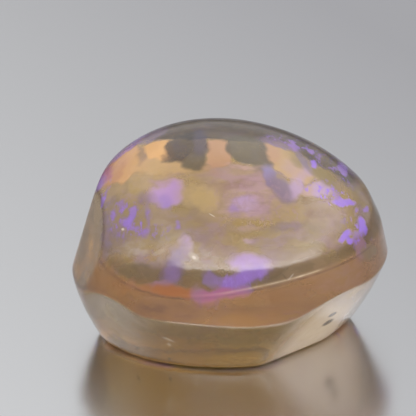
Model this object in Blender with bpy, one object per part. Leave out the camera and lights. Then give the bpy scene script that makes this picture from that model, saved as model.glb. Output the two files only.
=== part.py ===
"""A freeform crystal opal: one polished, see-through stone that rests on its flat base.

The stone is the soft overlap of a few simple surfaces around one inner point: a dome, a bevel band below
it, a wall at the girdle, a cone that narrows to the foot, four ground flats and the base. The share of a
point in one of these surfaces is 1 on the surface, more outside and less inside, and it grows in step with
the distance from the inner point. The soft largest share grows the same way, so one division gives how far
the stone reaches in any direction. Lengths are in millimetres until the mesh is made, and reaches are
measured from the inner point. +X is the stone's right, -Y its front and +Z up.
"""

import math

import bmesh
import bpy
import numpy as np

MM = 0.001
COLLECTION_NAME = "crystal_opal"
NODE_NAME = "opal"

INNER_POINT_HEIGHT = 3.05

# Reaches are listed as right, left, back, front.
DOME_REACH = (6.5, 6.25, 5.3, 5.5)
DOME_HEIGHT = 4.95
DOME_FULLNESS = 1.8
# For each millimetre up, the dome's middle moves this far to the left and to the back.
DOME_LEAN_LEFT = 0.35
DOME_LEAN_BACK = 0.08
# The dome's levels climb to the right and to the back by this much for each millimetre.
DOME_CLIMB_RIGHT = 0.165
DOME_CLIMB_BACK = 0.165

BEVEL_REACH = (6.1, 6.45, 6.2, 5.2)
BEVEL_TAPER = 0.068
BEVEL_SHIFT_RIGHT = 0.008

WALL_REACH = (6.1, 5.9, 5.6, 5.1)
WALL_TAPER = 0.042
WALL_TAPER_RIGHT = -0.0125
WALL_TAPER_BACK = 0.02

# The foot's reaches are those of its outline on the base plane.
FOOT_REACH = (4.5, 5.3, 4.1, 4.3)
FOOT_FLARE = 0.1
FOOT_SHIFT_RIGHT = 0.01

# Each flat is the bearing it faces (0 is right, 90 back), its upward tilt and its distance.
FLATS = {
    "left flank": (196, 19.5, 5.4),
    "lower left": (222, -18, 5.45),
    "lower right": (313.5, -34, 4.85),
    "lower right end": (334, -37.5, 5.05),
}

# A higher number keeps the edge between two surfaces crisper.
CREASE_CRISPNESS = 140
BASE_EDGE_CRISPNESS = 30
BASE_FLATNESS = 0.002

SEGMENTS = 96
RINGS = 50
# The rings crowd this much toward the girdle, where the creases are.
RING_CROWDING = 0.25

BODY_COLOUR = (0.34, 0.24, 0.17, 1.0)
ROUGHNESS = 0.06
REFRACTIVE_INDEX = 1.45
TRANSMISSION = 0.6


def oval_share(x, y, reach):
    """The share of (x, y) in an oval that has its own reach on each of its four sides."""
    right, left, back, front = reach
    return np.hypot(x / np.where(x > 0, right, left), y / np.where(y > 0, back, front))


def dome_share(x, y, z):
    across = oval_share(x + DOME_LEAN_LEFT * z, y - DOME_LEAN_BACK * z, DOME_REACH)
    level = z - DOME_CLIMB_RIGHT * x - DOME_CLIMB_BACK * y
    up = np.maximum(level, 0) / DOME_HEIGHT
    return (across**DOME_FULLNESS + up**DOME_FULLNESS) ** (1 / DOME_FULLNESS)


def bevel_share(x, y, z):
    return oval_share(x, y, BEVEL_REACH) + BEVEL_TAPER * z - BEVEL_SHIFT_RIGHT * x


def wall_share(x, y, z):
    out = np.maximum(np.hypot(x, y), 1e-9)
    taper = WALL_TAPER + WALL_TAPER_RIGHT * x / out + WALL_TAPER_BACK * y / out
    return oval_share(x, y, WALL_REACH) + taper * z


def foot_share(x, y, z):
    share = oval_share(x, y, FOOT_REACH) - FOOT_FLARE * z - FOOT_SHIFT_RIGHT * x
    return share / (1 + FOOT_FLARE * INNER_POINT_HEIGHT)


def flat_share(x, y, z, flat):
    bearing, tilt = (math.radians(angle) for angle in flat[:2])
    out = x * math.cos(bearing) + y * math.sin(bearing)
    return (out * math.cos(tilt) + z * math.sin(tilt)) / flat[2]


def soft_largest(shares, crispness):
    """The largest share, rounded over where two of them are nearly equal."""
    shares = np.maximum(shares, 0)
    largest = shares.max(axis=0)
    return largest * np.sum((shares / largest) ** crispness, axis=0) ** (1 / crispness)


def stone_reach(directions):
    """How far the stone reaches from its inner point in each unit direction."""
    x, y, z = directions.T
    surfaces = [share(x, y, z) for share in (dome_share, bevel_share, wall_share, foot_share)]
    flats = [flat_share(x, y, z, flat) for flat in FLATS.values()]
    upper = soft_largest(np.array(surfaces + flats), CREASE_CRISPNESS)
    base = -z / INNER_POINT_HEIGHT
    return 1 / soft_largest(np.array([upper, base]), BASE_EDGE_CRISPNESS)


def crowded_toward_girdle(directions):
    """The same directions with their elevations drawn toward the level of the inner point."""
    bearing = np.arctan2(directions[:, 1], directions[:, 0])
    elevation = np.arcsin(np.clip(directions[:, 2], -1, 1))
    elevation = elevation - RING_CROWDING * np.sin(2 * elevation)
    level = np.cos(elevation)
    return np.stack([level * np.cos(bearing), level * np.sin(bearing), np.sin(elevation)], axis=1)


def centred_on_base(points):
    """Moves the points so that the middle of their outline is the origin, with the base at height 0."""
    low, high = points.min(axis=0), points.max(axis=0)
    points = points - [(low[0] + high[0]) / 2, (low[1] + high[1]) / 2, low[2]]
    points[points[:, 2] < BASE_FLATNESS, 2] = 0
    return points


def make_stone_mesh():
    shape = bmesh.new()
    bmesh.ops.create_uvsphere(shape, u_segments=SEGMENTS, v_segments=RINGS, radius=1)
    mesh = bpy.data.meshes.new(NODE_NAME)
    shape.to_mesh(mesh)
    shape.free()

    sphere = np.array([vertex.co for vertex in mesh.vertices])
    directions = crowded_toward_girdle(sphere / np.linalg.norm(sphere, axis=1, keepdims=True))
    points = centred_on_base(directions * stone_reach(directions)[:, None]) * MM
    mesh.vertices.foreach_set("co", points.ravel())
    mesh.update()
    mesh.shade_smooth()
    return mesh


def make_opal_material():
    material = bpy.data.materials.new("crystal_opal")
    material.use_nodes = True
    shader = material.node_tree.nodes["Principled BSDF"]
    shader.inputs["Base Color"].default_value = BODY_COLOUR
    shader.inputs["Roughness"].default_value = ROUGHNESS
    shader.inputs["Metallic"].default_value = 0.0
    shader.inputs["IOR"].default_value = REFRACTIVE_INDEX
    shader.inputs["Transmission Weight"].default_value = TRANSMISSION
    return material


def main():
    for old in list(bpy.data.objects):
        bpy.data.objects.remove(old, do_unlink=True)
    collection = bpy.data.collections.new(COLLECTION_NAME)
    bpy.context.scene.collection.children.link(collection)
    mesh = make_stone_mesh()
    mesh.materials.append(make_opal_material())
    collection.objects.link(bpy.data.objects.new(NODE_NAME, mesh))


main()
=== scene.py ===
"""The looks of a freeform crystal opal: a polished, see-through amber stone with violet and orange fire.

Lengths are in millimetres until a mesh or a Blender object takes them. +X is the stone's right, -Y its
front and +Z up. The stone's form repeats the dimensions of the frame's solid, with a finer mesh, crisper
creases and the small marks of a stone that has been worn and handled, along with painted highlights,
painted reflections and painted shade.
"""

import math

import bmesh
import bpy
import numpy as np
from mathutils import Matrix, Vector
from mathutils import noise as space_noise


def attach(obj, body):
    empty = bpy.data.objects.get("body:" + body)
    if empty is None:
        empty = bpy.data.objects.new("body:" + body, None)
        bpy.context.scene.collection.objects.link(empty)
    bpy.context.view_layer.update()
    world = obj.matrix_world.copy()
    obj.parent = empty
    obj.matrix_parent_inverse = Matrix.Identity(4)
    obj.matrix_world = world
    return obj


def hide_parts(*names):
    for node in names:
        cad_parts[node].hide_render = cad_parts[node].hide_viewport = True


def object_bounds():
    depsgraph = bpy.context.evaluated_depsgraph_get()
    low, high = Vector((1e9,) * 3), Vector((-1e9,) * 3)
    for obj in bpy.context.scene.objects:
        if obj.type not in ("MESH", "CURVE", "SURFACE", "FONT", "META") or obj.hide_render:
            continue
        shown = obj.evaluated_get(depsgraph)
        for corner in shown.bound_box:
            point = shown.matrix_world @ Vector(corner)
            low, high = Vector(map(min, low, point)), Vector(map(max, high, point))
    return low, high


MM = 0.001

# The stone's form, as in the frame. Reaches are listed as right, left, back, front.
INNER_POINT_HEIGHT = 3.05
DOME_REACH = (6.5, 6.25, 5.3, 5.5)
DOME_HEIGHT = 4.95
DOME_FULLNESS = 1.8
DOME_LEAN_LEFT = 0.35
DOME_LEAN_BACK = 0.08
DOME_CLIMB_RIGHT = 0.165
DOME_CLIMB_BACK = 0.165
BEVEL_REACH = (6.1, 6.45, 6.2, 5.2)
BEVEL_TAPER = 0.068
BEVEL_SHIFT_RIGHT = 0.008
WALL_REACH = (6.1, 5.9, 5.6, 5.1)
WALL_TAPER = 0.042
WALL_TAPER_RIGHT = -0.0125
WALL_TAPER_BACK = 0.02
FOOT_REACH = (4.5, 5.3, 4.1, 4.3)
FOOT_FLARE = 0.1
FOOT_SHIFT_RIGHT = 0.01
# Each flat is the bearing it faces (0 is right, 90 back), its upward tilt and its distance.
FLATS = {
    "left flank": (196, 19.5, 5.4),
    "lower left": (222, -18, 5.45),
    "lower right": (313.5, -34, 4.85),
    "lower right end": (334, -37.5, 5.05),
}

# A higher number keeps the edge between two surfaces crisper. The foot and its flats meet softly.
CREASE_CRISPNESS = 260
FOOT_CRISPNESS = 70
BASE_EDGE_CRISPNESS = 30
# The same, for the edges between the colours of the surfaces.
ZONE_CRISPNESS = 500
FOOT_ZONE_CRISPNESS = 42
BASE_ZONE_CRISPNESS = 45
# The foot's own colour reaches this much further onto its flats than its surface does.
FOOT_LEAD = 1.018
# Shares this far below the largest have no effect on it, and skipping their powers saves time.
CLOSE_SHARE = 0.6
# The least values keep a division by zero out.
LEAST_SHARE = 1e-6
LEAST_OUT = 1e-9
# Widths of the painted highlight and painted shade lines along the creases, in shares.
CREASE_LINE_WIDTH = 0.0017
SHADE_SHIFT = 0.005
FLANK_LINE_WIDTH = 0.008

BASE_FLATNESS = 0.002
SEGMENTS = 480
RINGS = 206
PROFILE_SAMPLES = 1600
# How many millimetres of surface one radian of turning is worth, where mesh rows are shared out.
TURN_WORTH = 2.5

# The camera: the photograph's view, nearly without perspective.
VIEW_ELEVATION = 20.8
VIEW_ROLL = 2.1
VIEW_DISTANCE = 180
VIEW_AIM = (-0.76, -0.075, 4.93)
FRAME_WIDTH = 15.85
SENSOR_WIDTH = 36
CLIP_START = 10
CLIP_END = 10000

# The stone's surface is looked for this far before and behind the aim plane.
VIEW_REACH = 8
VIEW_SAMPLES = 1601

FLOOR_SIZE = 1200
FLOOR_GAP = 0.02
FLOOR_ROUGHNESS = 0.2
# The floor's colour darkens a little along this direction, between these distances: a painted fall-off of
# the light across the floor.
FLOOR_SLOPE = (0.91, 0.42, 0)
FLOOR_FADE = (-12, 21)
FLOOR_TINTS = ((0.94, 0.95, 0.97, 1), (0.56, 0.56, 0.595, 1))

# The studio, by direction: each ease is its start and end, and the light at both where it isn't 0 and 1.
STUDIO_FRONT = (0.5, 0.1)
FRONT_BY_HEIGHT = (0.1, 0.45, 0.25, 0.65)
BACK_BY_HEIGHT = (0.05, 0.28, 0.15, 0.62)
BACK_TOP = (0.5, 0.7, 0.0, 0.5)
OVERHEAD_TOWARD = (0.42, 0.5, 0.76)
OVERHEAD_NEAR = (0.9, 0.97, 0.0, 0.4)
BAND_FOOT = (0.43, 0.52)
BAND_TOP = (0.93, 0.58)
BAND_MIDDLE = 0.08
BAND_SIDES = (0.78, 0.5)
BAND_LIGHT = 4.8

# The polish, and the amber inside, whose density is per metre.
ROUGHNESS = 0.12
REFRACTIVE_INDEX = 1.45
COAT_WEIGHT = 0.3
COAT_ROUGHNESS = 0.03
RIPPLE_DEPTH = 0.04
ABSORPTION_COLOUR = (0.86, 0.75, 0.06, 1.0)
ABSORPTION_DENSITY = 310

# Each noise is its scale, detail and roughness. Each stretch makes a noise finer or coarser along X, Y
# and Z.
NOISE_MIDDLE = 0.5
BROAD_NOISE = (0.55, 3.0, 0.55)
RIPPLE_NOISE = (0.9, 3.0, 0.5)
PATCHY_NOISE = (0.8, 4.0, 0.6)
RAGGED_NOISE = (2.6, 6.0, 0.65)
RAGGED_STRETCH = (1.0, 1.0, 0.7)
FLECK_NOISE = (3.4, 4.0, 0.65)
FLECK_STRETCH = (1.6, 1.0, 0.7)
FLECK_TURN = (0, 0.5, 0)
VEIL_NOISE = (2.2, 3.0, 0.55)
VEIL_STRETCH = (0.5, 1.2, 1.6)

# The body's two tones, from where its broad noise is low to where it is high.
BODY_TONES = ((190, 166, 138), (208, 182, 156))
BODY_EASE = (0.38, 0.62)
# Mottling: where its noise starts, how fine it is, its ease, tone.
MOTTLE_STRETCH = (0.5, 0.5, 1.0)
MOTTLE_DETAIL = (5.0, 0.6)
MOTTLES = [
    ((7, 3, 5), 1.5, (0.48, 0.64, 0.0, 0.6), (198, 166, 190)),
    ((1, 9, 2), 1.9, (0.48, 0.62, 0.0, 0.75), (202, 176, 120)),
]

DOME_CLEARNESS = 0.72
# Each zone's everyday colour and how clear it is. The rest is the dome.
ZONES = {
    "bevel": ((134, 114, 88), 0.64),
    "wall": ((184, 139, 98), 0.64),
    "foot": ((200, 170, 108), 0.83),
    "flank": ((190, 168, 142), 0.65),
    # Painted reflection: the lower flats are painted pale where they mirror the bright floor and light, over
    # the real reflection they also get.
    "lower_left": ((200, 188, 162), 0.6),
    "lower_right": ((255, 240, 222), 0.5),
    # Painted light: the base is painted pale to lighten the shaded strip along the stone's bottom edge.
    "base": ((246, 230, 200), 0.45),
}
# How much of the body's mottling comes through a zone's colour.
ZONE_EASE = (0.35, 0.65, 0.15, 0.0)

# How much less clear the painted places are.
FIRE_BODY = 0.6
# How much of the painted places' own colour comes back out of the stone.
PATCH_SHADE = 0.86
PATCH_DEPTH = 2.6
# How the share of a painted place shows, and how it dies out at its rim.
PATCH_EASE = (0.05, 1.0, 0.0, 0.9)
RIM_EASE = (0.0, 0.2)
LEAST_ALPHA = 0.001
FLECK_EASE = (0.5, 0.64)
VEIL_EASE = (0.38, 0.62, 0.45, 1.0)
# Sizes of the noise that makes painted edges ragged, and how far each moves them.
WANDER = ((1.1, 0.16), (0.3, 0.09))
WANDER_SEED = 3

# The painted shade and painted highlight lines along the creases: their tones, how patchy they are, and
# where the highlight starts and ends.
SHADED_TONE = (104, 84, 84)
SHADED_EASE = (0.3, 0.6, 0.2, 0.6)
# The painted highlight: a light line along the crease under the bevel.
HIGHLIGHT_TONE = (236, 214, 184)
HIGHLIGHT_EASE = (0.4, 0.62, 0.5, 1.0)
HIGHLIGHT_START = (-2.4, 3.0)
HIGHLIGHT_END = (3.7, 2.9)

# Everyday 0 to 255 colours.
TONES = {
    "sand": (164, 138, 104),
    "moss": (138, 120, 98),
    "honey": (144, 119, 93),
    "fawn": (148, 121, 105),
    "rose": (174, 142, 150),
    "rose lilac": (183, 149, 167),
    "umber": (146, 121, 106),
    "smoke": (55, 50, 56),
    "green smoke": (88, 82, 72),
    "blue smoke": (70, 67, 96),
    "violet smoke": (134, 116, 146),
    "pale orange": (238, 182, 118),
    "orange": (224, 172, 124),
    "salmon": (193, 148, 118),
    "deep salmon": (205, 148, 115),
    "pale gold": (199, 164, 116),
    "gold": (187, 159, 108),
    "olive": (142, 123, 80),
    "slate": (138, 128, 186),
    "lavender": (190, 160, 204),
    "lilac": (187, 152, 220),
    "heart violet": (188, 148, 218),
    "violet": (162, 128, 214),
    "bright violet": (168, 128, 248),
    "deep violet": (146, 108, 200),
    "dusk violet": (134, 108, 156),
    "magenta": (176, 102, 150),
    "dusk magenta": (156, 118, 138),
    "rust": (170, 106, 66),
    "brown": (126, 95, 77),
    "dark bevel": (110, 94, 74),
    "dusk rose": (150, 118, 108),
    "pale rose": (196, 162, 160),
    # Painted reflection of the soft light on the dome's lower edge.
    "painted reflection": (186, 174, 172),
    "pit": (70, 58, 48),
    # Light scuffs, and painted glints of light.
    "scuff and glint": (255, 246, 234),
}

# Painted places as seen from the front: right and up of the view's middle, half width, half height, tilt in
# degrees, softness of the edge, strength and tone. Later places lie over earlier ones.
CLOUDS = [
    (-2.6, 1.1, 1.9, 0.6, 20, 0.6, 0.8, "sand"),
    (-3.15, -0.3, 1.1, 1.1, 0, 0.6, 0.8, "moss"),
    (-2.9, -1.2, 1.1, 0.4, 0, 0.8, 0.6, "moss"),
    (-1.8, -0.9, 0.9, 0.4, 0, 0.8, 0.8, "moss"),
    (-1.0, -0.45, 1.6, 0.5, 0, 0.6, 0.8, "honey"),
    (0.3, 1.35, 1.2, 0.5, 0, 0.6, 0.8, "fawn"),
    (1.4, 1.0, 1.3, 0.5, -10, 0.6, 0.9, "rose"),
    (1.5, 0.15, 1.5, 0.5, 0, 0.6, 0.8, "rose lilac"),
    (3.0, -0.1, 1.0, 0.45, 0, 0.5, 0.8, "sand"),
    (3.3, -0.8, 1.5, 0.35, 5, 0.5, 0.7, "moss"),
    (4.5, -0.35, 0.9, 0.6, -20, 0.5, 0.7, "fawn"),
    (3.0, -1.25, 1.5, 0.25, 5, 0.6, 0.7, "honey"),
    (6.3, -0.9, 0.45, 1.5, 8, 0.6, 0.5, "umber"),
    (-3.8, -1.0, 0.25, 1.3, -6, 0.7, 0.7, "violet smoke"),
    (-2.2, -2.35, 1.4, 0.35, 2, 0.4, 0.8, "dark bevel"),
    (-0.3, -2.35, 1.2, 0.35, -4, 0.6, 0.6, "dark bevel"),
    (2.3, -2.75, 1.0, 0.3, 10, 0.6, 0.7, "dark bevel"),
    (4.6, -2.6, 1.3, 0.5, 25, 0.7, 0.5, "dusk rose"),
    (-1.6, -3.9, 1.7, 0.5, 0, 0.8, 0.85, "brown"),
    (5.5, -2.5, 0.9, 0.5, 30, 0.8, 0.6, "dusk rose"),
    # Painted reflection: the pale veil of the soft light just above the dome's lower edge.
    (-2.6, -1.66, 1.0, 0.3, -6, 0.9, 0.62, "painted reflection"),
    (0.3, -1.85, 1.2, 0.24, -4, 0.9, 0.4, "painted reflection"),
    (3.9, -2.15, 1.2, 0.34, 22, 0.6, 0.8, "honey"),
]

WINDOWS = [
    (-3.1, 1.72, 0.78, 0.42, 57, 0.2, 1.0, "orange"),
    (-3.6, 1.35, 0.7, 0.25, 50, 0.5, 0.9, "deep salmon"),
    (-2.2, 1.75, 0.75, 0.28, 8, 0.4, 0.9, "orange"),
    (-1.45, 1.62, 1.2, 0.36, 0, 0.5, 0.9, "pale gold"),
    (-2.55, 2.05, 0.16, 0.3, -15, 0.5, 0.8, "umber"),
    (-1.9, 2.22, 0.6, 0.37, -2, 0.12, 1.0, "pale orange"),
    (0.42, 2.05, 0.52, 0.52, 0, 0.15, 1.0, "salmon"),
    (0.0, 1.5, 0.6, 0.2, -30, 0.6, 0.35, "salmon"),
    (2.95, 1.72, 1.2, 0.48, -30, 0.2, 1.0, "pale gold"),
    (2.35, 2.02, 0.42, 0.34, -20, 0.4, 0.9, "salmon"),
    (3.3, 1.45, 0.5, 0.25, -30, 0.6, 0.6, "pale rose"),
    # Painted shade: the dark band along the top of the dome, darkening the dark reflection that lies there.
    (0.2, 3.32, 3.9, 0.82, -3, 0.08, 0.95, "smoke"),
    (4.35, 2.05, 1.9, 0.5, -38, 0.3, 0.85, "smoke"),
    (3.9, 1.45, 1.0, 0.2, -38, 0.5, 0.8, "olive"),
]

FIRES = [
    # Dark veils that hang from the shaded band.
    (-0.72, 2.3, 0.72, 0.55, 0, 0.3, 1.0, "smoke"),
    (-0.55, 1.75, 0.42, 0.36, 0, 0.35, 0.95, "green smoke"),
    (-0.3, 2.45, 0.26, 0.45, -10, 0.5, 0.95, "blue smoke"),
    (-1.2, 2.2, 0.42, 0.42, 0, 0.4, 1.0, "smoke"),
    (-1.5, 1.9, 0.32, 0.14, 8, 0.5, 0.7, "smoke"),
    (1.45, 2.25, 0.78, 0.55, -16, 0.2, 1.0, "green smoke"),
    (2.05, 1.62, 0.32, 0.36, 30, 0.5, 0.95, "green smoke"),
    (2.3, 1.2, 0.24, 0.42, 28, 0.5, 1.0, "slate"),
    (2.75, 0.72, 0.62, 0.36, -50, 0.5, 0.95, "violet smoke"),
    (3.3, 0.82, 0.26, 0.42, -15, 0.6, 0.8, "lavender"),
    (3.75, 1.4, 0.25, 0.32, 0, 0.6, 0.6, "lavender"),
    # Clouded fire over the middle.
    (1.3, 1.55, 0.6, 0.1, -5, 0.7, 0.7, "pale rose"),
    (1.0, 0.85, 0.9, 0.22, 3, 0.7, 0.6, "dusk rose"),
    (1.7, 1.05, 0.4, 0.25, 0, 0.7, 0.6, "rose lilac"),
    (1.35, 0.2, 0.5, 0.22, 10, 0.7, 0.8, "lavender"),
    (2.0, 0.05, 0.5, 0.2, -10, 0.7, 0.7, "rose lilac"),
    (0.95, -0.08, 0.2, 0.12, 0, 0.8, 0.5, "violet"),
    (2.9, -0.65, 0.7, 0.2, 5, 0.7, 0.6, "violet smoke"),
    (1.5, -0.75, 0.6, 0.15, 0, 0.7, 0.5, "rose"),
    (1.65, -1.25, 0.3, 0.12, 0, 0.7, 0.6, "lavender"),
    (4.15, -0.2, 0.55, 0.2, 0, 0.7, 0.6, "dusk rose"),
    # Fire at the right shoulder.
    (3.85, 0.68, 0.3, 0.22, 0, 0.5, 0.9, "pale rose"),
    (4.35, 0.68, 0.42, 0.26, -10, 0.4, 0.95, "lavender"),
    (4.87, 0.42, 0.12, 0.26, 25, 0.5, 0.7, "violet"),
    (5.14, 0.26, 0.42, 0.14, -5, 0.35, 1.0, "bright violet"),
    (4.4, 1.15, 0.7, 0.24, -38, 0.5, 0.95, "olive"),
    (5.98, -0.02, 0.12, 0.16, 0, 0.5, 0.9, "violet"),
    (5.56, -0.05, 0.1, 0.1, 0, 0.5, 0.7, "violet"),
    (5.84, -0.68, 0.15, 0.34, 15, 0.4, 1.0, "bright violet"),
    (5.63, -0.97, 0.2, 0.16, 0, 0.5, 0.7, "violet"),
    (5.18, -1.03, 0.14, 0.32, -40, 0.4, 1.0, "bright violet"),
    (5.37, -1.22, 0.18, 0.11, 20, 0.4, 1.0, "bright violet"),
    (5.7, -1.5, 0.2, 0.45, 0, 0.6, 0.9, "dusk magenta"),
    (6.05, -1.7, 0.3, 0.25, 30, 0.6, 0.9, "moss"),
    # Violet along the rim.
    (2.75, 2.45, 0.85, 0.18, -12, 0.5, 0.85, "violet smoke"),
    (3.28, 2.4, 0.13, 0.26, 30, 0.4, 0.95, "violet"),
    (3.62, 1.85, 0.14, 0.45, 30, 0.5, 0.8, "violet smoke"),
    (4.0, 2.17, 0.17, 0.1, -30, 0.4, 1.0, "violet"),
    (4.35, 1.95, 0.14, 0.1, -40, 0.6, 0.7, "violet"),
    (4.08, 1.71, 0.12, 0.12, 0, 0.4, 1.0, "bright violet"),
    (5.07, 1.45, 0.24, 0.14, -50, 0.4, 1.0, "violet"),
    (5.05, 1.78, 0.95, 0.12, -46, 0.6, 0.45, "violet"),
    (-3.75, 1.68, 0.45, 0.2, 52, 0.4, 0.9, "deep salmon"),
    (-3.9, 1.3, 0.3, 0.2, 55, 0.5, 0.9, "magenta"),
    (-4.08, 0.9, 0.16, 0.38, -20, 0.5, 0.9, "violet"),
    (-2.3, 2.74, 0.9, 0.17, 24, 0.5, 0.85, "violet smoke"),
    (-3.1, 2.3, 1.1, 0.1, 40, 0.6, 0.8, "violet"),
    # The violet heart and the yellow oval beside it.
    (-1.64, 1.03, 0.5, 0.15, 0, 0.5, 0.8, "rose lilac"),
    (-1.62, 0.52, 0.48, 0.4, 10, 0.6, 1.0, "heart violet"),
    (-1.2, 0.62, 0.28, 0.36, 0, 0.6, 1.0, "heart violet"),
    (-1.6, 0.2, 0.26, 0.26, 0, 0.7, 0.8, "violet"),
    (-2.3, 0.3, 0.34, 0.26, 0, 0.6, 0.6, "dusk violet"),
    (-0.18, 0.32, 0.82, 0.48, -28, 0.75, 0.9, "gold"),
    # Flecks at the left.
    (-3.92, 0.15, 0.12, 0.24, -25, 0.35, 1.0, "bright violet"),
    (-3.2, 0.08, 0.1, 0.26, -8, 0.5, 0.7, "violet"),
    (-3.47, -0.23, 0.11, 0.2, -10, 0.5, 0.85, "violet"),
    (-2.86, -0.15, 0.12, 0.28, -20, 0.4, 0.95, "violet"),
    (-3.08, -0.53, 0.2, 0.24, -10, 0.7, 0.75, "bright violet"),
    (-2.82, -0.75, 0.22, 0.12, 0, 0.6, 0.8, "violet"),
    (-2.4, -0.95, 0.2, 0.24, -30, 0.7, 0.7, "violet"),
    (-2.32, -0.3, 0.12, 0.32, -10, 0.6, 0.6, "violet"),
    (-1.14, -0.57, 0.1, 0.2, 0, 0.6, 0.7, "violet"),
    (-3.55, -1.25, 0.4, 0.5, 0, 0.7, 0.6, "violet smoke"),
    # Fire that runs over the dome's lower edge onto the bevel.
    (-0.85, -1.35, 0.28, 0.35, 10, 0.6, 0.7, "lavender"),
    (-1.15, -1.95, 0.36, 0.5, -25, 0.7, 0.75, "dusk violet"),
    (-1.35, -2.45, 0.42, 0.4, -15, 0.7, 0.8, "dusk violet"),
    (-1.75, -2.85, 0.45, 0.16, 0, 0.5, 0.85, "dusk magenta"),
    (1.55, -2.02, 0.8, 0.32, -5, 0.6, 0.85, "lilac"),
    (1.5, -2.5, 0.66, 0.3, 14, 0.6, 0.95, "deep violet"),
    (0.8, -2.8, 0.42, 0.24, 0, 0.6, 0.9, "deep violet"),
    (0.15, -2.6, 0.45, 0.24, -20, 0.4, 0.9, "dusk violet"),
    (1.25, -3.02, 0.45, 0.14, 0, 0.5, 0.8, "dusk violet"),
    (-1.2, -3.14, 1.1, 0.22, -6, 0.6, 1.0, "rust"),
    (-2.75, -2.92, 0.9, 0.2, -8, 0.7, 0.4, "rust"),
    (-0.25, -3.2, 0.26, 0.33, 15, 0.6, 0.9, "dusk magenta"),
    (0.55, -3.16, 0.84, 0.2, 2, 0.7, 0.9, "magenta"),
    (0.0, -3.45, 0.42, 0.3, 12, 0.9, 0.6, "magenta"),
]

# Regions of fine flecks, in the same form.
FLECKS = [
    (-3.0, -0.45, 0.75, 0.75, 15, 0.7, 0.8, "bright violet"),
    (-3.85, 0.4, 0.2, 0.8, -12, 0.5, 0.7, "violet"),
    (-1.9, -0.9, 0.9, 0.4, 0, 0.6, 0.6, "violet"),
    (1.6, 0.5, 1.6, 0.8, 0, 0.5, 0.5, "rose lilac"),
    (2.6, -0.3, 1.8, 0.4, 5, 0.6, 0.5, "rose lilac"),
    (4.5, 0.55, 0.95, 0.4, -15, 0.5, 1.0, "bright violet"),
    (5.55, -0.85, 0.5, 0.7, 20, 0.6, 0.8, "bright violet"),
    (4.3, 1.9, 1.9, 0.2, -42, 0.6, 0.6, "bright violet"),
    (2.9, 2.5, 0.8, 0.22, -15, 0.5, 0.7, "violet"),
    (1.2, -2.65, 1.0, 0.4, 10, 0.6, 0.6, "violet"),
    (0.0, -3.5, 0.8, 0.4, 0, 0.6, 0.5, "dusk magenta"),
]

# For each layer, its places, how square they are and how far the ragged noise eats into their edges.
LAYERS = {
    "cloud": (CLOUDS, 2, 0.5),
    "window": (WINDOWS, 3.2, 0.6),
    "fire": (FIRES, 2.2, 0.8),
    "fleck": (FLECKS, 2, 0.6),
}

# Small marks of wear and painted glints of light, as seen from the front: right, up, half length, half
# width, tilt, strength, tone.
MARKS = [
    (4.7, -4.02, 0.2, 0.06, 29, 0.85, "pit"),
    (4.53, -4.33, 0.27, 0.07, 30, 0.85, "pit"),
    (-1.49, -4.93, 0.25, 0.04, -22, 0.3, "scuff and glint"),
    (-1.45, -5.12, 0.1, 0.06, -30, 0.3, "scuff and glint"),
    (-1.45, -5.68, 0.07, 0.06, 0, 0.7, "pit"),
    (-2.67, -5.3, 0.08, 0.06, 0, 0.6, "pit"),
    (3.09, -5.58, 0.1, 0.07, 20, 0.6, "pit"),
    (2.86, -2.57, 0.17, 0.03, -50, 0.3, "pit"),
    (3.09, -2.57, 0.16, 0.03, 50, 0.22, "scuff and glint"),
    # A painted glint of light.
    (-3.2, -0.8, 0.06, 0.05, 0, 0.6, "scuff and glint"),
    (0.15, -0.27, 0.13, 0.02, -30, 0.5, "scuff and glint"),
    # Painted highlights: glints of light on the dome's lower edge.
    (-1.85, -1.66, 0.3, 0.1, 25, 0.2, "scuff and glint"),
    (-0.52, -1.82, 0.24, 0.14, -35, 0.3, "scuff and glint"),
    (-0.52, -1.84, 0.09, 0.06, -35, 0.5, "scuff and glint"),
]
MARK_DEPTH = 1.0
# How far from its middle a mark fades out, from the outside in.
MARK_EASE = (1.3, 0.6)

# Play of colour away from the front: where its noise starts, how fine it is, from what level it shows and
# its tone.
HIDDEN_FIRE = [
    ((3, 1, 8), 0.45, 0.5, "orange"),
    ((9, 4, 2), 0.5, 0.52, "rose lilac"),
    ((5, 8, 1), 0.7, 0.55, "violet"),
    ((2, 6, 6), 1.6, 0.6, "bright violet"),
]
HIDDEN_STRETCH = (0.7, 0.7, 1.0)
HIDDEN_DETAIL = (4.0, 0.55)
HIDDEN_FADE = 0.14
HIDDEN_STRENGTH = 0.85
# It comes in where the surface turns away from the front, between these shares of facing backward.
UNSEEN_EASE = (-0.25, 0.15)


def oval_share(x, y, reach):
    """The share of (x, y) in an oval that has its own reach on each of its four sides."""
    right, left, back, front = reach
    return np.hypot(x / np.where(x > 0, right, left), y / np.where(y > 0, back, front))


def dome_share(x, y, z):
    across = oval_share(x + DOME_LEAN_LEFT * z, y - DOME_LEAN_BACK * z, DOME_REACH)
    level = z - DOME_CLIMB_RIGHT * x - DOME_CLIMB_BACK * y
    up = np.maximum(level, 0) / DOME_HEIGHT
    return (across**DOME_FULLNESS + up**DOME_FULLNESS) ** (1 / DOME_FULLNESS)


def bevel_share(x, y, z):
    return oval_share(x, y, BEVEL_REACH) + BEVEL_TAPER * z - BEVEL_SHIFT_RIGHT * x


def wall_share(x, y, z):
    out = np.maximum(np.hypot(x, y), LEAST_OUT)
    taper = WALL_TAPER + WALL_TAPER_RIGHT * x / out + WALL_TAPER_BACK * y / out
    return oval_share(x, y, WALL_REACH) + taper * z


def foot_share(x, y, z):
    share = oval_share(x, y, FOOT_REACH) - FOOT_FLARE * z - FOOT_SHIFT_RIGHT * x
    return share / (1 + FOOT_FLARE * INNER_POINT_HEIGHT)


def flat_share(x, y, z, flat):
    bearing, tilt = (math.radians(angle) for angle in flat[:2])
    out = x * math.cos(bearing) + y * math.sin(bearing)
    return (out * math.cos(tilt) + z * math.sin(tilt)) / flat[2]


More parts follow.
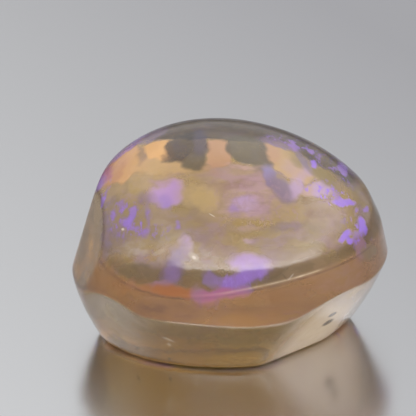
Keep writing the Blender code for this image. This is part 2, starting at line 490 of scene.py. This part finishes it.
def soft_largest(shares, crispness):
    """The largest share, rounded over where two of them are nearly equal."""
    largest = np.maximum(shares.max(axis=0), LEAST_SHARE)
    close = np.maximum(shares / largest, CLOSE_SHARE)
    return largest * np.sum(close**crispness, axis=0) ** (1 / crispness)


def surface_shares(directions):
    """The shares of the dome, the bevel, the wall and the flank, and of the foot and its three flats."""
    x, y, z = directions.T
    flats = {name: flat_share(x, y, z, flat) for name, flat in FLATS.items()}
    upper = [share(x, y, z) for share in (dome_share, bevel_share, wall_share)]
    lower = [foot_share(x, y, z), flats["lower left"], flats["lower right"], flats["lower right end"]]
    return np.array([*upper, flats["left flank"]]), np.array(lower)


def base_share(directions):
    return -directions[:, 2] / INNER_POINT_HEIGHT


def stone_reach(directions):
    """How far the stone reaches from its inner point in each unit direction."""
    upper, lower = surface_shares(directions)
    lowest = soft_largest(lower, FOOT_CRISPNESS)
    sides = soft_largest(np.array([*upper, lowest]), CREASE_CRISPNESS)
    return 1 / soft_largest(np.array([sides, base_share(directions)]), BASE_EDGE_CRISPNESS)


def owned(shares, crispness):
    """How much of each point belongs to each surface, 1 in all."""
    largest = np.maximum(shares.max(axis=0), LEAST_SHARE)
    own = np.maximum(shares / largest, CLOSE_SHARE) ** crispness
    return own / own.sum(axis=0)


def line_at(distance, width):
    """1 on a line and 0 away from it."""
    return np.exp(-((distance / width) ** 2))


def zone_shares(directions):
    """For each zone of the surface, 1 where that zone is, 0 elsewhere and a change between."""
    upper, lower = surface_shares(directions)
    lowest = soft_largest(lower, FOOT_CRISPNESS)
    dome, bevel, wall, flank, below = owned(np.array([*upper, lowest]), ZONE_CRISPNESS)
    lead = np.array([FOOT_LEAD, 1, 1, 1])[:, None]
    foot, lower_left, lower_right, right_end = below * owned(lower * lead, FOOT_ZONE_CRISPNESS)
    sides = np.maximum(upper.max(axis=0), lowest)
    _, base = owned(np.array([sides, base_share(directions)]), BASE_ZONE_CRISPNESS)
    from_bevel = upper[2] / upper[1] - 1
    from_dome = upper[3] / upper[0] - 1
    crease_line = line_at(from_bevel - SHADE_SHIFT, CREASE_LINE_WIDTH)
    zones = {
        "bevel": bevel,
        "wall": wall,
        "foot": foot,
        "flank": flank,
        "lower_left": lower_left,
        "lower_right": lower_right + right_end,
        "base": base,
        # A painted highlight along the crease under the bevel, and painted shade beside the creases.
        "edge_highlight": (bevel + wall) * line_at(from_bevel, CREASE_LINE_WIDTH),
        "shaded": (bevel + wall) * crease_line + (dome + flank) * line_at(from_dome, FLANK_LINE_WIDTH),
    }
    return {name: share.astype(np.float32) for name, share in zones.items()}


def unit_directions(bearing, elevation):
    level = np.cos(elevation)
    return np.stack([level * np.cos(bearing), level * np.sin(bearing), np.sin(elevation)], axis=1)


def profile_rows(bearings):
    """For each bearing, the elevations of the mesh rows, closer together where the stone's profile turns."""
    fine = np.linspace(-math.pi / 2, math.pi / 2, PROFILE_SAMPLES)
    bearing, elevation = np.meshgrid(bearings, fine, indexing="ij")
    directions = unit_directions(bearing.ravel(), elevation.ravel())
    reach = stone_reach(directions).reshape(bearing.shape)
    out, up = reach * np.cos(elevation), reach * np.sin(elevation)
    step_out, step_up = np.diff(out, axis=1), np.diff(up, axis=1)
    length = np.hypot(step_out, step_up)
    heading = np.unwrap(np.arctan2(step_up, step_out), axis=1)
    turn = np.abs(np.diff(heading, axis=1, prepend=heading[:, :1]))
    weight = np.cumsum(length + TURN_WORTH * turn, axis=1)
    weight = np.concatenate([np.zeros((len(bearings), 1)), weight], axis=1)
    shares = np.linspace(0, 1, RINGS + 1)
    return np.array([np.interp(shares * row[-1], row, fine) for row in weight])


def stone_faces(last):
    """A fan at the base, rings of four-sided faces and a fan at the top, up to the point numbered last."""

    def corner(ring, segment):
        return 1 + ring * SEGMENTS + segment % SEGMENTS

    faces = []
    for segment in range(SEGMENTS):
        faces.append((0, corner(0, segment + 1), corner(0, segment)))
        faces.append((last, corner(RINGS - 2, segment), corner(RINGS - 2, segment + 1)))
        for ring in range(RINGS - 2):
            lower = corner(ring, segment), corner(ring, segment + 1)
            faces.append((*lower, corner(ring + 1, segment + 1), corner(ring + 1, segment)))
    return faces


def make_stone(box):
    """The stone, and the place of its form's inner point in millimetres."""
    bearings = np.arange(SEGMENTS) * 2 * math.pi / SEGMENTS
    rings = profile_rows(bearings)[:, 1:-1].T
    around = np.broadcast_to(bearings, rings.shape)
    directions = unit_directions(
        np.concatenate([[0], around.ravel(), [0]]),
        np.concatenate([[-math.pi / 2], rings.ravel(), [math.pi / 2]]),
    )
    points = directions * stone_reach(directions)[:, None]
    low, high = points.min(axis=0), points.max(axis=0)
    middle = np.array([(low[0] + high[0]) / 2, (low[1] + high[1]) / 2, low[2]])
    room = np.array(box[1]) - np.array(box[0])
    points = (points - middle) * np.minimum(room / MM / (high - low), 1)
    points[points[:, 2] < BASE_FLATNESS, 2] = 0

    mesh = bpy.data.meshes.new("polished_opal")
    mesh.from_pydata(points * MM, [], stone_faces(len(points) - 1))
    mesh.shade_smooth()
    for name, shares in zone_shares(directions).items():
        zone = mesh.attributes.new(name, "FLOAT", "POINT")
        zone.data.foreach_set("value", shares)

    stone = bpy.data.objects.new("polished_opal", mesh)
    bpy.context.scene.collection.objects.link(stone)
    return stone, -middle


def srgb(red, green, blue):
    """A colour given in everyday 0 to 255 values, as the linear colour that shaders use."""

    def linear(value):
        value = value / 255
        return value / 12.92 if value <= 0.04045 else ((value + 0.055) / 1.055) ** 2.4

    return (linear(red), linear(green), linear(blue), 1.0)


class Nodes:
    """Short calls for adding nodes to one tree."""

    def __init__(self, tree):
        self.tree = tree

    def add(self, kind, sockets, output=0, **settings):
        node = self.tree.nodes.new(kind)
        for name, value in settings.items():
            setattr(node, name, value)
        for name, value in sockets.items():
            self.put(node.inputs[name], value)
        return node.outputs[output]

    def put(self, socket, value):
        if isinstance(value, bpy.types.NodeSocket):
            self.tree.links.new(value, socket)
        else:
            socket.default_value = value

    def attribute(self, name, output="Fac"):
        return self.add("ShaderNodeAttribute", {}, output, attribute_name=name)

    def math(self, operation, *values):
        return self.add("ShaderNodeMath", dict(enumerate(values)), operation=operation)

    def vector(self, operation, *values, output="Vector"):
        sockets = dict(enumerate(values))
        return self.add("ShaderNodeVectorMath", sockets, output=output, operation=operation)

    def scaled(self, vector, factor):
        sockets = {0: vector, "Scale": factor}
        return self.add("ShaderNodeVectorMath", sockets, "Vector", operation="SCALE")

    def ease(self, value, start, end, low=0.0, high=1.0):
        """Goes smoothly from low to high while the value goes from start to end."""
        sockets = {"Value": value, "From Min": start, "From Max": end, "To Min": low, "To Max": high}
        return self.add("ShaderNodeMapRange", sockets, interpolation_type="SMOOTHSTEP")

    def mix(self, share, below, above):
        return self.add("ShaderNodeMixRGB", {"Fac": share, "Color1": below, "Color2": above})

    def noise(self, place, scale, detail, roughness):
        sockets = {"Vector": place, "Scale": scale, "Detail": detail, "Roughness": roughness}
        return self.add("ShaderNodeTexNoise", sockets, output="Fac")


def camera_axes():
    """Right, up and forward of the camera, as unit vectors."""
    elevation, roll = math.radians(VIEW_ELEVATION), math.radians(VIEW_ROLL)
    right = Vector((1, 0, 0))
    up = Vector((0, math.sin(elevation), math.cos(elevation)))
    forward = Vector((0, math.cos(elevation), -math.sin(elevation)))
    return (
        math.cos(roll) * right - math.sin(roll) * up,
        math.sin(roll) * right + math.cos(roll) * up,
        forward,
    )


def view_depth(inner_point, right, up):
    """How far behind the aim plane the stone's surface lies, at a place in the photograph's view."""
    view_right, view_up, forward = (np.array(axis) for axis in camera_axes())
    depths = np.linspace(-VIEW_REACH, VIEW_REACH, VIEW_SAMPLES)
    places = np.array(VIEW_AIM) + right * view_right + up * view_up + depths[:, None] * forward
    rays = places - inner_point
    lengths = np.linalg.norm(rays, axis=1)
    inside = lengths <= stone_reach(rays / lengths[:, None])
    if not inside.any():
        return float(depths[np.argmin(lengths)])
    return float(depths[np.argmax(inside)])


def ease(value, start, end):
    """Goes smoothly from 0 to 1 while the value goes from start to end."""
    share = np.clip((value - start) / (end - start), 0, 1)
    return share * share * (3 - 2 * share)


def wandered(places):
    """The places, each moved a little by two sizes of smooth noise, so that painted edges are ragged."""
    space_noise.seed_set(WANDER_SEED)
    moved = places.copy()
    for size, amount in WANDER:
        drift = [space_noise.noise_vector(Vector(place / size)) for place in places]
        moved += np.array(drift) * amount
    return moved


def patch_share(local, patch, squareness):
    """How strongly each point, measured from a patch's middle along the view, belongs to the patch."""
    half_width, half_height, tilt, softness, strength = patch
    turn = math.radians(tilt)
    along = (local[:, 0] * math.cos(turn) + local[:, 1] * math.sin(turn)) / half_width
    across = (local[:, 1] * math.cos(turn) - local[:, 0] * math.sin(turn)) / half_height
    deep = local[:, 2] / PATCH_DEPTH
    distance = sum(np.abs(part) ** squareness for part in (along, across, deep)) ** (1 / squareness)
    return ease(distance, 1 + softness, 1 - softness)[:, None] * strength


def paint(stone, inner_point):
    """Lays the patches on the stone: each layer's colours times their shares, with the shares as alpha."""
    mesh = stone.data
    points = np.empty(len(mesh.vertices) * 3)
    mesh.vertices.foreach_get("co", points)
    places = wandered(points.reshape(-1, 3) / MM)
    axes = np.array([list(axis) for axis in camera_axes()])
    seen = (places - np.array(VIEW_AIM)) @ axes.T
    for name, (patches, squareness, _) in LAYERS.items():
        layer = np.zeros((len(seen), 4))
        for right, up, *patch, tone in patches:
            local = seen - [right, up, view_depth(inner_point, right, up)]
            share = patch_share(local, patch, squareness)
            layer = layer * (1 - share) + np.array(srgb(*TONES[tone])) * share
        layer[:, :3] *= PATCH_SHADE
        colours = mesh.attributes.new(name, "FLOAT_COLOR", "POINT")
        colours.data.foreach_set("color", layer.astype(np.float32).ravel())

    normals = np.empty(len(mesh.vertices) * 3, dtype=np.float32)
    mesh.vertex_normals.foreach_get("vector", normals)
    away = normals.reshape(-1, 3) @ axes[2]
    unseen = mesh.attributes.new("unseen", "FLOAT", "POINT")
    unseen.data.foreach_set("value", ease(away, *UNSEEN_EASE).astype(np.float32))


def body_colour(nodes, place):
    """The amber body: mottled in space, with each zone of the surface in its own tone."""
    drawn = nodes.vector("MULTIPLY", place, MOTTLE_STRETCH)
    broad = nodes.noise(place, *BROAD_NOISE)
    low_tone, high_tone = BODY_TONES
    colour = nodes.mix(nodes.ease(broad, *BODY_EASE), srgb(*low_tone), srgb(*high_tone))
    for shift, scale, shown, tone in MOTTLES:
        mottle = nodes.noise(nodes.vector("ADD", drawn, shift), scale, *MOTTLE_DETAIL)
        colour = nodes.mix(nodes.ease(mottle, *shown), colour, srgb(*tone))
    for name, (tone, _) in ZONES.items():
        zone = nodes.mix(nodes.ease(broad, *ZONE_EASE), srgb(*tone), colour)
        colour = nodes.mix(nodes.attribute(name), colour, zone)
    return colour


def hidden_fire(nodes, place, colour):
    """Play of colour on the sides that the photograph doesn't show, and how much of it there is."""
    unseen = nodes.attribute("unseen")
    shown = 0.0
    for shift, scale, start, tone in HIDDEN_FIRE:
        drawn = nodes.vector("MULTIPLY_ADD", place, HIDDEN_STRETCH, shift)
        field = nodes.noise(drawn, scale, *HIDDEN_DETAIL)
        patch = nodes.ease(field, start, start + HIDDEN_FADE, 0.0, HIDDEN_STRENGTH)
        share = nodes.math("MULTIPLY", patch, unseen)
        colour = nodes.mix(share, colour, srgb(*TONES[tone]))
        shown = nodes.math("MAXIMUM", shown, share)
    return colour, shown


def painted_fire(nodes, place, colour, fire):
    """The painted layers, with ragged edges, broken flecks and streaked clouds."""
    ragged = nodes.noise(nodes.vector("MULTIPLY", place, RAGGED_STRETCH), *RAGGED_NOISE)
    ragged = nodes.math("SUBTRACT", ragged, NOISE_MIDDLE)
    sockets = {"Vector": place, "Rotation": FLECK_TURN, "Scale": FLECK_STRETCH}
    streaks = nodes.add("ShaderNodeMapping", sockets, "Vector")
    veils = nodes.vector("MULTIPLY", place, VEIL_STRETCH)
    broken = {
        "fleck": nodes.ease(nodes.noise(streaks, *FLECK_NOISE), *FLECK_EASE),
        "cloud": nodes.ease(nodes.noise(veils, *VEIL_NOISE), *VEIL_EASE),
    }
    for name, (_, _, bite) in LAYERS.items():
        layer = nodes.attribute(name, "Color").node
        shown = layer.outputs["Alpha"]
        undone = nodes.math("DIVIDE", 1.0, nodes.math("MAXIMUM", shown, LEAST_ALPHA))
        tone = nodes.scaled(layer.outputs["Color"], undone)
        eaten = nodes.math("MULTIPLY_ADD", ragged, bite, shown)
        share = nodes.math("MULTIPLY", nodes.ease(eaten, *PATCH_EASE), nodes.ease(shown, *RIM_EASE))
        if name in broken:
            share = nodes.math("MULTIPLY", share, broken[name])
        colour = nodes.mix(share, colour, tone)
        fire = nodes.math("MAXIMUM", fire, share)
    return colour, fire


def creases(nodes, place, colour):
    """A painted highlight, a thin light line along the crease under the bevel, and painted shade, the darker
    lines beside the creases.
    """
    patchy = nodes.noise(place, *PATCHY_NOISE)
    across = nodes.vector("DOT_PRODUCT", place, (1, 0, 0), output="Value")
    highlight_span = nodes.math("MULTIPLY", nodes.ease(across, *HIGHLIGHT_START), nodes.ease(across, *HIGHLIGHT_END))
    shaded = nodes.math("MULTIPLY", nodes.attribute("shaded"), nodes.ease(patchy, *SHADED_EASE))
    colour = nodes.mix(shaded, colour, srgb(*SHADED_TONE))
    edge_highlight = nodes.math("MULTIPLY", nodes.attribute("edge_highlight"), nodes.ease(patchy, *HIGHLIGHT_EASE))
    edge_highlight = nodes.math("MULTIPLY", edge_highlight, highlight_span)
    return nodes.mix(edge_highlight, colour, srgb(*HIGHLIGHT_TONE)), edge_highlight


def wear_and_glint_mark(nodes, place, colour, inner_point, mark):
    """One pit, scuff or painted glint: a small oval that lies on the surface where the view shows it."""
    right, up, half_length, half_width, tilt, strength, tone = mark
    view_right, view_up, forward = camera_axes()
    turn = math.radians(tilt)
    along = math.cos(turn) * view_right + math.sin(turn) * view_up
    across = math.cos(turn) * view_up - math.sin(turn) * view_right
    depth = view_depth(inner_point, right, up)
    centre = Vector(VIEW_AIM) + right * view_right + up * view_up + depth * forward
    sockets = {
        "Vector": place,
        "Location": centre,
        "Rotation": Matrix((along, across, -forward)).transposed().to_euler(),
        "Scale": (half_length, half_width, MARK_DEPTH),
    }
    local = nodes.add("ShaderNodeMapping", sockets, "Vector", vector_type="TEXTURE")
    distance = nodes.vector("LENGTH", local, output="Value")
    share = nodes.ease(distance, *MARK_EASE, 0.0, strength)
    return nodes.mix(share, colour, srgb(*TONES[tone])), share


def opal_material(inner_point):
    material = bpy.data.materials.new("opal_polished")
    material.use_nodes = True
    tree = material.node_tree
    shader = tree.nodes["Principled BSDF"]
    output = tree.nodes["Material Output"]
    nodes = Nodes(tree)

    place = nodes.scaled(nodes.add("ShaderNodeTexCoord", {}, "Object"), 1 / MM)
    colour = body_colour(nodes, place)
    colour, fire = hidden_fire(nodes, place, colour)
    colour, fire = painted_fire(nodes, place, colour, fire)
    colour, edge_highlight = creases(nodes, place, colour)
    # The painted highlight also makes the stone less clear where it lies.
    fire = nodes.math("MAXIMUM", fire, edge_highlight)
    # Pits, scuffs and painted glints, each less clear where it lies.
    for mark in MARKS:
        colour, share = wear_and_glint_mark(nodes, place, colour, inner_point, mark)
        fire = nodes.math("MAXIMUM", fire, share)
    nodes.put(shader.inputs["Base Color"], colour)

    clear = DOME_CLEARNESS
    for name, (_, clearness) in ZONES.items():
        clear = nodes.math("MULTIPLY_ADD", nodes.attribute(name), clearness - DOME_CLEARNESS, clear)
    clear = nodes.math("MULTIPLY", clear, nodes.math("MULTIPLY_ADD", fire, -FIRE_BODY, 1.0))
    nodes.put(shader.inputs["Transmission Weight"], clear)

    ripple = nodes.noise(place, *RIPPLE_NOISE)
    sockets = {"Height": ripple, "Distance": RIPPLE_DEPTH * MM, "Strength": 1.0}
    bump = nodes.add("ShaderNodeBump", sockets, "Normal")
    nodes.put(shader.inputs["Normal"], bump)
    nodes.put(shader.inputs["Coat Normal"], bump)
    shader.inputs["Roughness"].default_value = ROUGHNESS
    shader.inputs["IOR"].default_value = REFRACTIVE_INDEX
    shader.inputs["Coat Weight"].default_value = COAT_WEIGHT
    shader.inputs["Coat Roughness"].default_value = COAT_ROUGHNESS
    shader.inputs["Coat IOR"].default_value = REFRACTIVE_INDEX
    absorb = tree.nodes.new("ShaderNodeVolumeAbsorption")
    absorb.inputs["Color"].default_value = ABSORPTION_COLOUR
    absorb.inputs["Density"].default_value = ABSORPTION_DENSITY
    tree.links.new(absorb.outputs["Volume"], output.inputs["Volume"])
    return material


def make_camera():
    right, up, forward = camera_axes()
    data = bpy.data.cameras.new("camera")
    data.sensor_width = SENSOR_WIDTH
    data.lens = SENSOR_WIDTH * VIEW_DISTANCE / FRAME_WIDTH
    data.clip_start = CLIP_START * MM
    data.clip_end = CLIP_END * MM
    camera = bpy.data.objects.new("camera", data)
    turn = Matrix((right, up, -forward)).transposed().to_4x4()
    place = Vector(VIEW_AIM) * MM - forward * VIEW_DISTANCE * MM
    camera.matrix_world = Matrix.Translation(place) @ turn
    bpy.context.scene.collection.objects.link(camera)
    bpy.context.scene.camera = camera


def make_floor():
    shape = bmesh.new()
    bmesh.ops.create_grid(shape, x_segments=1, y_segments=1, size=FLOOR_SIZE / 2 * MM)
    mesh = bpy.data.meshes.new("floor")
    shape.to_mesh(mesh)
    shape.free()
    floor = bpy.data.objects.new("floor", mesh)
    floor.location.z = -FLOOR_GAP * MM
    bpy.context.scene.collection.objects.link(floor)
    material = bpy.data.materials.new("floor_polished")
    material.use_nodes = True
    nodes = Nodes(material.node_tree)
    shader = material.node_tree.nodes["Principled BSDF"]
    place = nodes.add("ShaderNodeTexCoord", {}, "Object")
    slope = nodes.vector("DOT_PRODUCT", place, FLOOR_SLOPE, output="Value")
    start, end = (distance * MM for distance in FLOOR_FADE)
    fade = nodes.add("ShaderNodeMapRange", {"Value": slope, "From Min": start, "From Max": end})
    nodes.put(shader.inputs["Base Color"], nodes.mix(fade, *FLOOR_TINTS))
    shader.inputs["Metallic"].default_value = 1.0
    shader.inputs["Roughness"].default_value = FLOOR_ROUGHNESS
    mesh.materials.append(material)


def make_world():
    """A studio tent: dim low in front, a soft bright band half-way up in front, plain above and behind."""
    world = bpy.data.worlds.new("studio")
    bpy.context.scene.world = world
    world.use_nodes = True
    tree = world.node_tree
    nodes = Nodes(tree)
    toward = nodes.add("ShaderNodeTexCoord", {}, "Generated")
    split = nodes.add("ShaderNodeSeparateXYZ", {0: toward}).node
    across, level, height = split.outputs

    overhead = nodes.vector("DOT_PRODUCT", toward, OVERHEAD_TOWARD, output="Value")
    back = nodes.math("ADD", nodes.ease(height, *BACK_BY_HEIGHT), nodes.ease(overhead, *OVERHEAD_NEAR))
    back = nodes.math("ADD", back, nodes.ease(height, *BACK_TOP))

    sideways = nodes.math("ABSOLUTE", nodes.math("SUBTRACT", across, BAND_MIDDLE))
    band = nodes.math("MULTIPLY", nodes.ease(height, *BAND_FOOT), nodes.ease(height, *BAND_TOP))
    band = nodes.math("MULTIPLY", band, nodes.ease(sideways, *BAND_SIDES))
    front = nodes.math("MULTIPLY_ADD", band, BAND_LIGHT, nodes.ease(height, *FRONT_BY_HEIGHT))

    background = tree.nodes["Background"]
    tone = nodes.mix(nodes.ease(level, *STUDIO_FRONT), back, front)
    tree.links.new(tone, background.inputs["Color"])
    background.inputs["Strength"].default_value = 1.0


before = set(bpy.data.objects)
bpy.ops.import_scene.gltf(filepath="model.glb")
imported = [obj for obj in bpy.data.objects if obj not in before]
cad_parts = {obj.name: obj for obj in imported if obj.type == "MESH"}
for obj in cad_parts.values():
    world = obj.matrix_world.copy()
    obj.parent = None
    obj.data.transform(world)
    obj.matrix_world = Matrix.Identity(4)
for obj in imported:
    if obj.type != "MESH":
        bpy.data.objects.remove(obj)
cad_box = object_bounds()

bpy.context.scene.view_settings.view_transform = "Standard"

stone, inner_point = make_stone(cad_box)
paint(stone, inner_point)
stone.data.materials.append(opal_material(inner_point))
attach(stone, "root")
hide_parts("opal")

make_floor()
make_world()
make_camera()
